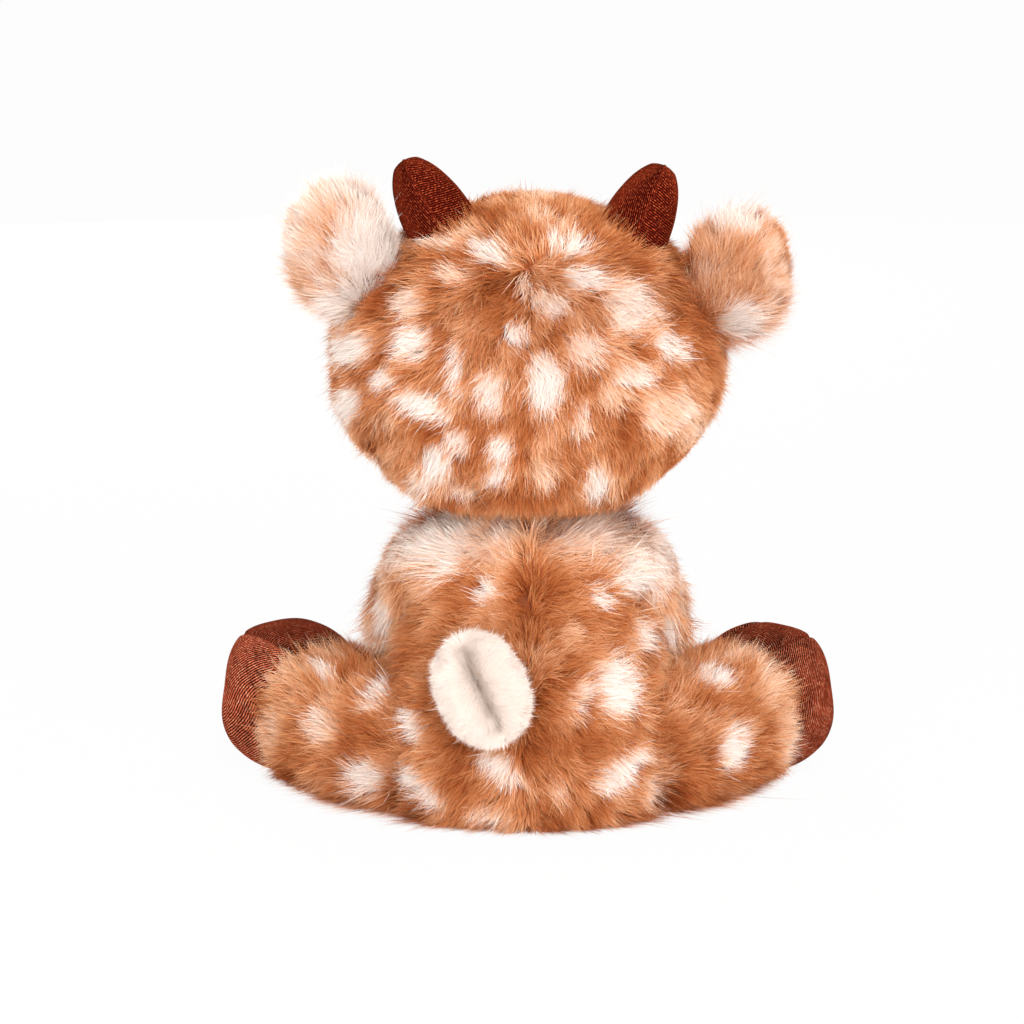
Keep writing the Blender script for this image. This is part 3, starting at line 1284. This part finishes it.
def body_flow(points, normals):
    """Away from the middle seam on the back, away from the tail's foot close to it, and down. On
    the shoulders it lies nearly level, so that it shows its length and not its tips."""
    away = points[:, :1] / (np.abs(points[:, :1]) + 6 * MM) * X_AXIS
    from_tail = points - TAIL_FOOT
    near = np.exp(-(from_tail**2).sum(axis=1, keepdims=True) / (48 * MM) ** 2)
    level = ramp_up(points[:, 2:], 0.085, 0.108)
    return away + 1.6 * near * unit(from_tail) - (0.55 - 0.4 * level) * Z_AXIS


def leg_flow(sign):
    """From the low back of the hip outwards, so up on the thigh and towards the hoof beyond."""
    pivot, along, side = leg_frame(sign)
    source = pivot - along * 14 * MM + Z_AXIS * 12 * MM + side * 12 * MM
    return lambda points, normals: unit(points - source) + 0.55 * along


def arm_flow(sign):
    """Down the arm and a little outwards."""
    _, along, outward = arm_line(sign)
    return lambda points, normals: along * 0.5 - Z_AXIS + 0.25 * outward


def ear_flow(sign):
    """From the ear's root, which the head's fur hides, to its rim."""
    root, along = ear_line(sign)
    middle = root + along * 3 * MM
    return lambda points, normals: unit(points - middle) + 0.3 * along


def neck_flow(points, normals):
    """Away from the neck's middle and a little down."""
    return unit(points * (1.0, 1.0, 0.0) + 1e-9) - 0.5 * Z_AXIS + 0.4 * np.cross(normals, Z_AXIS)


def muzzle_flow(points, normals):
    """Back from the nose over the muzzle."""
    return Y_AXIS + 0.3 * unit(points - at(0, -94, 182))


# %% The coats' lengths and rise
head_coat = Coat(12 * MM, 5.8, rise=0.90, fall=0.36, wild=0.12, sway=0.34)
body_coat = Coat(12 * MM, 5.9, rise=0.90, fall=0.36, wild=0.12, sway=0.34)
leg_coat = Coat(12 * MM, 6.0, rise=0.90, fall=0.36, wild=0.12, sway=0.25)
arm_coat = Coat(12 * MM, 6.2, rise=0.88, fall=0.36, wild=0.12, sway=0.25, tone=0.54)
EAR_RISE_AND_TONE = {"left": (0.80, 0.74), "right": (0.86, 0.44)}
ear_coats = {
    name: Coat(13 * MM, 10.0, rise=rise, fall=0.38, sway=0.25, tone=tone, width=0.2 * MM)
    for name, (rise, tone) in EAR_RISE_AND_TONE.items()
}
neck_coat = Coat(9 * MM, 6.0, rise=0.8, fall=0.3, wild=0.14, tone=0.30)
lining_coat = Coat(9 * MM, 6.0, rise=0.6, fall=0.3, wild=0.10, tone=0.82)
muzzle_coat = Coat(6 * MM, 6.5, rise=0.6, fall=0.3, wild=0.08, tone=0.84, radius=0.8 * MM)
print("strands a square mm on the head:", head_coat.density)


# %% The head's coat
def from_eyes(points):
    """How far each point is from the rim of the nearer eye, as seen from the front."""
    far = np.full(len(points), 1.0)
    for name, _ in SIDES:
        low, high = np.array(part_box(f"eye_{name}"))
        middle, half = (low + high) / 2, (high[0] - low[0]) / 2
        away = np.hypot(points[:, 0] - middle[0], points[:, 2] - middle[2]) - half
        far = np.minimum(far, np.where(points[:, 1] < 0, away, 1.0))
    return far


def clear_of_eyes(points, normals):
    """Roots that an eye's dome doesn't cover."""
    return from_eyes(points) > 0.5 * MM


def head_trim(points, normals):
    """Shares of the length. The cloth sits tight on the right cheek, so the fur is short there,
    and on the crown, the jowls, beside the horns, beside the left ear and round the eyes."""
    aside, height = np.abs(points[:, 0]), points[:, 2]
    cheek = np.exp(-(((points - at(-62, 10, 160)) / (30 * MM)) ** 2).sum(axis=1))
    crown = ramp_up(height, 0.235, 0.258)
    jowl = ramp_up(aside, 38 * MM, 60 * MM) * (1 - ramp_up(height, 0.155, 0.180))
    rim = (1 - ramp_up(height, 0.136, 0.150)) * (1 - ramp_up(aside, 34 * MM, 46 * MM))
    beside = 2.2 * ears["left"].holds(points, 7 * MM)
    for horn in horns.values():
        beside = np.maximum(beside, horn.holds(points, 9 * MM))
    lids = 0.3 + 0.7 * ramp_up(from_eyes(points), 0.0, 12 * MM)
    behind = ramp_up(points[:, 1], -0.030, 0.0)
    tight = 1 - 0.35 * cheek - 0.3 * crown - 0.25 * beside - 0.4 * jowl - 0.15 * rim * behind
    return lids * tight


def head_stand(points, normals):
    """The head's lowest fur stands out and hangs over the crease at the neck."""
    height, forward = points[:, 2], points[:, 1]
    behind = 0.30 * (1 - ramp_up(height, 0.140, 0.156)) * ramp_up(forward, 0.0, 0.015)
    before = 0.40 * (1 - ramp_up(height, 0.136, 0.148)) * (1 - ramp_up(forward, -0.015, 0.0))
    return behind + before


head_neighbours = [body_form, muzzle_form, *horns.values(), *ears.values()]
dress_form("head_fur", head_form, "head", head_coat, head_flow, HEAD_SPOTS, head_neighbours,
           seed=11, keep=clear_of_eyes, trim=head_trim, stand=head_stand)
dress_form("neck_fur", neck_form, "neck", neck_coat, neck_flow, (), [body_form, head_form],
           seed=17)


# %% The body's coat
def above_floor(points, normals):
    """Roots that don't lie on the toy's flat seat."""
    return (points[:, 2] > 1.0 * MM) & ~((points[:, 2] < 3 * MM) & (normals[:, 2] < -0.8))


def chest_top(points):
    """1 on the body's top in front of the neck, and 0 elsewhere."""
    beside = ramp_up(np.abs(points[:, 0]), 30 * MM, 42 * MM)
    before = 1 - ramp_up(points[:, 1], -0.012, 0.004)
    return ramp_up(points[:, 2], 0.100, 0.116) * before * (1 - beside)


def height_bell(points, middle, half):
    """1 at a height, falling off as a bell curve of the distance from it over the half width."""
    return np.exp(-(((points[:, 2] - middle) / half) ** 2))


def body_trim(points, normals):
    """Shares of the length: longer fur on the shoulders, in the armpits, in front of the neck and
    where the seat meets the floor, and shorter at the neck's sides."""
    aside = np.abs(points[:, 0])
    shoulder = height_bell(points, 0.106, 10 * MM) * ramp_up(aside, 16 * MM, 32 * MM)
    hip = height_bell(points, 0.0, 12 * MM) * ramp_up(aside, 15 * MM, 40 * MM)
    armpit = height_bell(points, 0.078, 16 * MM) * ramp_up(aside, 36 * MM, 48 * MM)
    corner = ramp_up(points[:, 2], 0.105, 0.114) * ramp_up(aside, 20 * MM, 34 * MM)
    corner = corner * ramp_up(points[:, 1], -0.012, 0.004)
    return 1 + 0.6 * shoulder + 0.8 * hip + 0.4 * armpit + 0.35 * chest_top(points) - 0.1 * corner


def low_stand(points):
    """The lowest fur stands out over the floor."""
    return 0.35 * (1 - ramp_up(points[:, 2], 0.004, 0.016))


def body_stand(points, normals):
    """The body's top fur lies flatter than the rest behind, but stands up beside the neck and in
    front of it, where it closes the gap."""
    aside = ramp_up(np.abs(points[:, 0]), 22 * MM, 36 * MM)
    crest = ramp_up(points[:, 2], 0.109, 0.118)
    shoulder = (0.5 * aside - 0.3) * ramp_up(points[:, 2], 0.088, 0.106) * (1 - crest)
    top = shoulder + 0.3 * crest * (1 - aside)
    return top + 0.6 * chest_top(points) + low_stand(points)


body_neighbours = [head_form, *legs.values(), *arms.values(), tail]
dress_form("body_fur", body_form, "torso", body_coat, body_flow, BODY_SPOTS, body_neighbours,
           seed=23, keep=above_floor, trim=body_trim, stand=body_stand)


# %% The legs' coats
def near_hoof(points, sign):
    """0 on the thigh and 1 at the hoof's rim."""
    pivot, along, _ = leg_frame(sign)
    return ramp_up((points - pivot) @ along, 48 * MM, 66 * MM)


def leg_trim(sign):
    """Longer fur low beside the seat, which hides the floor there, and shorter at the hoof."""

    def trim(points, normals):
        """Shares of the length."""
        low = height_bell(points, 0.0, 12 * MM)
        hip = np.exp(-(((np.abs(points[:, 0]) - 60 * MM) / (30 * MM)) ** 2))
        return 1 + 0.8 * low * hip - 0.25 * low * (1 - hip) - 0.2 * near_hoof(points, sign)

    return trim


def leg_stand(sign):
    """The lowest fur stands out over the floor, and the fur at the hoof's rim stands up."""
    return lambda points, normals: low_stand(points) + 0.25 * near_hoof(points, sign)


# %% The arms' coats
def arm_trim(sign):
    """Longer fur towards the hoof, so that it hangs over it behind."""
    pivot, along, outward = arm_line(sign)

    def trim(points, normals):
        """Shares of the length: more along the arm and below it, less on the shoulder's outside."""
        outer = ramp_up(normals @ outward, 0.1, 0.8) * ramp_up(points[:, 2], 0.080, 0.092)
        below = ramp_up(-normals[:, 2], 0.0, 0.7)
        hoofwards = ramp_up((points - pivot) @ along, 15 * MM, 50 * MM)
        return (1 + 0.4 * hoofwards + 0.35 * below) * (1 - 0.35 * outer)

    return trim


def arm_stand(points, normals):
    """Fur on the top of the shoulder stands up towards the head, and fur below the arm hangs."""
    return 0.2 * ramp_up(points[:, 2], 0.108, 0.120) + 0.4 * ramp_up(-normals[:, 2], 0.2, 0.8)


# %% The ears' coats
EAR_OUTER_TRIM = {1: 0.1, -1: 0.5}


def ear_trim(sign):
    """The ear's fur is long at the bottom, where it hangs, and at the top, and shorter outside."""
    root, along = ear_line(sign)
    middle = root + along * 20 * MM
    outward = unit(np.array([sign * 1.0, 0.0, 0.3]))

    def trim(points, normals):
        """Shares of the length, by the way from the ear's middle to the point."""
        way = unit(points - middle)
        out = np.maximum(way @ outward, 0)
        above, below = np.maximum(way[:, 2], 0), np.maximum(-way[:, 2], 0)
        return 1.05 + 0.3 * below + 0.35 * above * (1 - out) - EAR_OUTER_TRIM[sign] * out

    return trim


# %% Combing the limbs and the face
for name, sign in SIDES:
    dress_form(f"leg_fur_{name}", legs[name], f"leg_{name}", leg_coat, leg_flow(sign), LEG_SPOTS,
               [body_form, hooves[name]], seed=31 + sign, keep=above_floor,
               trim=leg_trim(sign), stand=leg_stand(sign))
    dress_form(f"arm_fur_{name}", arms[name], f"arm_{name}", arm_coat, arm_flow(sign), BODY_SPOTS,
               [body_form, arm_hooves[name], legs[name]], seed=41 + sign,
               trim=arm_trim(sign), stand=arm_stand)
    dress_form(f"ear_fur_{name}", ears[name], f"ear_{name}", ear_coats[name], ear_flow(sign),
               EAR_SPOTS, [head_form, linings[name]], seed=51 + sign,
               trim=ear_trim(sign), inset=EAR_INSET)
    dress_form(f"ear_lining_fur_{name}", linings[name], f"ear_{name}", lining_coat, ear_flow(sign),
               (), [head_form, ears[name]], seed=61 + sign,
               finish=pale_pile, inset=LINING_INSET)
dress_form("muzzle_fur", muzzle_form, "head", muzzle_coat, muzzle_flow, (), [head_form],
           seed=71, finish=pale_pile, inset=MUZZLE_INSET)

# %% [markdown]
# ## Hooves and horns
# A hoof is a cup of two velvet panels with a sole. Its panels meet in seams, which the stuffing
# pulls into shallow grooves, so the grooves are in the shape and the ribs in the finish.

# %% Grooved forms
SEAM_DEPTH = 1.6 * MM
SEAM_HALF_WIDTH = 1.8 * MM
SEAM_FADE = 0.03


def grooved(form, rows, around, seams, rings=(), grow=0.0, half_width=SEAM_HALF_WIDTH):
    """The form's grid pushed in along seams. A seam is (angle, first share, last share, depth),
    and the push is its depth times a bell curve of the distance from the seam's angle. A ring is
    (share, depth), and goes all the way round."""
    points, normals = form.grid(rows, around, grow)
    angle = np.linspace(0.0, 2 * np.pi, around, endpoint=False)
    place = np.linspace(0.0, 1.0, rows)[:, None]
    radius = np.linalg.norm(points - points.mean(axis=1, keepdims=True), axis=-1)
    push = np.zeros((rows, around))
    for seam_angle, first, last, depth in seams:
        away = np.abs((angle - seam_angle + np.pi) % (2 * np.pi) - np.pi) * radius
        ends = ramp_up(place, first - SEAM_FADE, first)
        ends = ends * (1 - ramp_up(place, last, last + SEAM_FADE))
        push = np.maximum(push, depth * np.exp(-((away / half_width) ** 2)) * ends)
    for share, depth in rings:
        away = (place - share) * form.length
        push = np.maximum(push, depth * np.exp(-((away / half_width) ** 2)))
    return points - normals * push[..., None]


def set_values(piece, name, values):
    """Writes one number for each place of the grid on the piece, and the mean of an end ring at
    its pole. A rib's turn is an angle and nap is a brightness, and both are read as grey."""
    values = np.concatenate([values[1:-1].ravel(), [values[0].mean(), values[-1].mean()]])
    colours = np.stack([values, values, values, np.ones_like(values)], axis=-1)
    layer = piece.data.attributes.new(name, "FLOAT_COLOR", "POINT")
    layer.data.foreach_set("color", colours.astype(np.float32).ravel())


def add_velvet(name, points, finish, body, nodes, turns, naps, flat_share=1.0):
    """A stuffed velvet piece from its grid, with its panels' rib turns and brightness."""
    made = skin_piece(name, points, finish, body, flat_share)
    set_values(made, RIB_TURN, np.radians(turns))
    set_values(made, NAP, naps)
    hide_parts(*nodes)
    return made


# %% Panels of the hooves and horns
HOOF_GRID, FRONT_HOOF_GRID, HORN_GRID = (90, 160), (48, 80), (90, 110)
HOOF_TOP_SEAMS = {"left": (62.0, 132.0), "right": (62.0, 104.0)}
SOLE_SHARE = 0.70
SOLE_TURN, TOP_TURN, SIDE_TURN = 12.0, 75.0, 48.0
TOP_PANEL, SOLE_PANEL = 0.36, 0.75
HOOF_BRIGHTNESS = {"left": 1.08, "right": 0.57}
PATCH_SWING, PATCH_SIZE = 0.22, 11 * MM
SPECKLE_SHARE, SPECKLE_SIZE = 0.9, 4 * MM
BESIDE_FUR, FUR_EDGE = 0.55, (0.14, 0.36)
NAP_LIMITS = (0.1, 1.2)
HORN_TURNS = (76.0, 14.0)
HORN_SHADES = (1.0, 0.85)
THREAD_HALF, THREAD_GAIN = 0.45 * MM, 1.2
HORN_SEAMS = ((0.0, 0.0, 0.97, 0.4 * MM), (math.pi, 0.0, 0.97, 0.4 * MM))


def hoof_panels(points, sign, first, last, brightness):
    """Rib turns and brightness of a hoof. Between its two seams is the dark top panel, and past
    the ring is the sole. The nap lies in patches, and is pressed down and dark beside the fur."""
    rows, around = points.shape[:2]
    angle = np.degrees(np.linspace(0.0, 2 * np.pi, around, endpoint=False)) * sign % 360
    place = np.linspace(0.0, 1.0, rows)[:, None]
    top = (angle > first) & (angle < last)
    sole = place > SOLE_SHARE
    turns = np.where(sole, SOLE_TURN, np.where(top, TOP_TURN, SIDE_TURN))
    flat = points.reshape(-1, 3)
    patches = wander(flat, PATCH_SIZE, 90 + sign)[:, 0]
    speckles = wander(flat, SPECKLE_SIZE, 95 + sign)[:, 0]
    patches = 1 + PATCH_SWING * (patches + SPECKLE_SHARE * speckles).reshape(rows, around)
    naps = np.where(top, TOP_PANEL, brightness) * np.where(sole, SOLE_PANEL, 1.0) * patches
    pressed = BESIDE_FUR + (1 - BESIDE_FUR) * ramp_up(place, *FUR_EDGE)
    return turns, np.clip(naps * pressed, *NAP_LIMITS)


def horn_panels(points):
    """Rib turns and brightness of a horn: two halves cut two ways, and a bright line of thread on
    the seam between them on the camera's side."""
    rows, around = points.shape[:2]
    angle = np.linspace(-np.pi, np.pi, around, endpoint=False)
    angle = np.roll(angle, around // 2)
    radius = np.linalg.norm(points - points.mean(axis=1, keepdims=True), axis=-1)
    thread = np.exp(-((angle * radius / THREAD_HALF) ** 2))
    turns = np.where(angle > 0, *HORN_TURNS) * np.ones((rows, 1))
    return turns, np.where(angle > 0, *HORN_SHADES) * (1 + THREAD_GAIN * thread)


# %% Hooves and horns
TOP_BULGE = {"left": 1.6 * MM, "right": 0.0}
LOW_BULGE = 2.0 * MM
SOLE_SEAM = 0.7


def hoof_bulge(name, sign):
    """How far stuffing fills a hoof out beyond its oval: the sine of the angle round it on top,
    and the same below, where it grows towards the sole."""
    rows, around = HOOF_GRID
    round_it = np.sin(sign * np.linspace(0.0, 2 * np.pi, around, endpoint=False))
    place = np.linspace(0.0, 1.0, rows)[:, None]
    above = TOP_BULGE[name] * np.maximum(round_it, 0.0)
    below = LOW_BULGE * np.maximum(-round_it, 0.0) * ramp_up(place, 0.5, 0.85)
    return (above + below)[..., None]


for name, sign in SIDES:
    panels = (sign, *HOOF_TOP_SEAMS[name], HOOF_BRIGHTNESS[name])
    seams = [(sign * math.radians(turn), 0.0, 0.96, SEAM_DEPTH) for turn in HOOF_TOP_SEAMS[name]]
    rings = ((SOLE_SHARE, SOLE_SEAM * SEAM_DEPTH),)
    points = grooved(hooves[name], *HOOF_GRID, seams, rings, grow=hoof_bulge(name, sign))
    add_velvet(f"hoof_{name}", points, hoof_velvet, f"leg_{name}",
               (f"leg_hoof_{name}", f"leg_sole_{name}"), *hoof_panels(points, *panels), SOLE_SHARE)
    points = grooved(arm_hooves[name], *FRONT_HOOF_GRID, seams, rings)
    add_velvet(f"front_hoof_{name}", points, hoof_velvet, f"arm_{name}",
               (f"arm_hoof_{name}",), *hoof_panels(points, *panels), SOLE_SHARE)
    points = grooved(horns[name], *HORN_GRID, HORN_SEAMS)
    add_velvet(f"horn_cone_{name}", points, horn_velvet, "head",
               (f"horn_{name}", f"horn_stuffing_{name}"), *horn_panels(points))
print("velvet pieces:", 3 * len(SIDES))

# %% [markdown]
# ## The tail
# The tail is an oval of short plush folded in half, so a slit runs down its outer side. Its pile
# is dense and even, and leans away from the fold.

# %% The tail's skin
TAIL_GRID = (72, 180)
TAIL_FOLD = (-math.pi / 2, 0.32, 0.70, 2.7 * MM)
TAIL_INSET = 1.5 * MM
FOLD_HALF_WIDTH = 0.6 * MM
tail_points = grooved(tail, *TAIL_GRID, (TAIL_FOLD,), grow=-TAIL_INSET,
                      half_width=FOLD_HALF_WIDTH)
tail_skin = skin_piece("tail_cloth", tail_points, white_backing, "tail")
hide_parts("tail")
print("tail length:", round(float(tail.length), 4))

# %% The tail's pile
tail_coat = Coat(6.0 * MM, 24.0, rise=0.66, fall=0.2, sway=0.25, tone=1.0, strands=8,
                 radius=1.0 * MM, width=0.22 * MM, gathering=0.15)
TAIL_SWAY_SIZE = 12 * MM
TAIL_LENGTHS = (0.85, 1.1)
TAIL_TONE_CHANCE = 0.015


def tail_flow(points, normals):
    """Away from the fold on the camera's side, and down the tail."""
    from_middle = points - (tail.start + tail.along * tail.length * 0.5)
    aside = (from_middle @ tail.side)[:, None]
    parted = aside / (np.abs(aside) + 2 * MM) * tail.side
    return parted + 0.5 * unit(from_middle) + 0.15 * tail.along


tail_rng = np.random.default_rng(81)
tufts_a_square_mm = tail_coat.density / tail_coat.strands
root, normal = strew(tail_points, grid_normals(tail_points), tufts_a_square_mm, tail_rng)
swaying = tail_coat.sway * wander(root, TAIL_SWAY_SIZE, 82)
lying = combed(normal, tail_flow(root, normal) + swaying)
lengths = tail_coat.length * tail_rng.uniform(*TAIL_LENGTHS, len(root))
tone_chance = tail_rng.normal(0.0, TAIL_TONE_CHANCE, (len(root), tail_coat.strands))
tones = tail_coat.tone + tone_chance
grow_fur("tail_fur", root, normal, lying, lengths, tones, tail_coat, tail_pile, "tail", tail_rng)

# %% [markdown]
# ## The face
# The face isn't in the picture. It gets a plain deer's face: two glossy eyes on shanks and a
# small velvet nose.

# %% Nose
NOSE_GRID = (40, 60)
low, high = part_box("nose")
middle = np.array((low + high) / 2)
nose_ends = [(middle[0], end[1], middle[2]) for end in (high, low)]
nose_halves = (high[0] - low[0]) / 2, (high[2] - low[2]) / 2
nose_form = Plump(*nose_ends, X_AXIS, *nose_halves, OVAL_ROWS)
add_velvet("nose_pad", nose_form.grid(*NOSE_GRID)[0], nose_velvet, "head", ("nose",),
           np.zeros(NOSE_GRID), np.ones(NOSE_GRID))
print("nose middle:", middle.round(4).tolist())

# %% Eyes
EYE_GRID = (90, 64)
for name, _ in SIDES:
    dome = skin_piece(f"eye_dome_{name}", eyes[name].grid(*EYE_GRID)[0], eye_gloss, "head")
    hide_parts(f"eye_{name}")
    washer = frame["nodes"][f"eye_washer_{name}"].data
    washer.materials.clear()
    washer.materials.append(washer_gloss)
    washer.polygons.foreach_set("material_index", np.zeros(len(washer.polygons), np.int32))
print("eyes:", len(SIDES))

# %% [markdown]
# ## Size
# The dressed toy has to stay close to the part's own box, so both boxes are kept side by side.

# %% Size and finish
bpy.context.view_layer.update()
meshes = [piece.data for piece in scene.objects if piece.type == "MESH"]
print("triangles:", sum(len(mesh.loops) - 2 * len(mesh.polygons) for mesh in meshes))
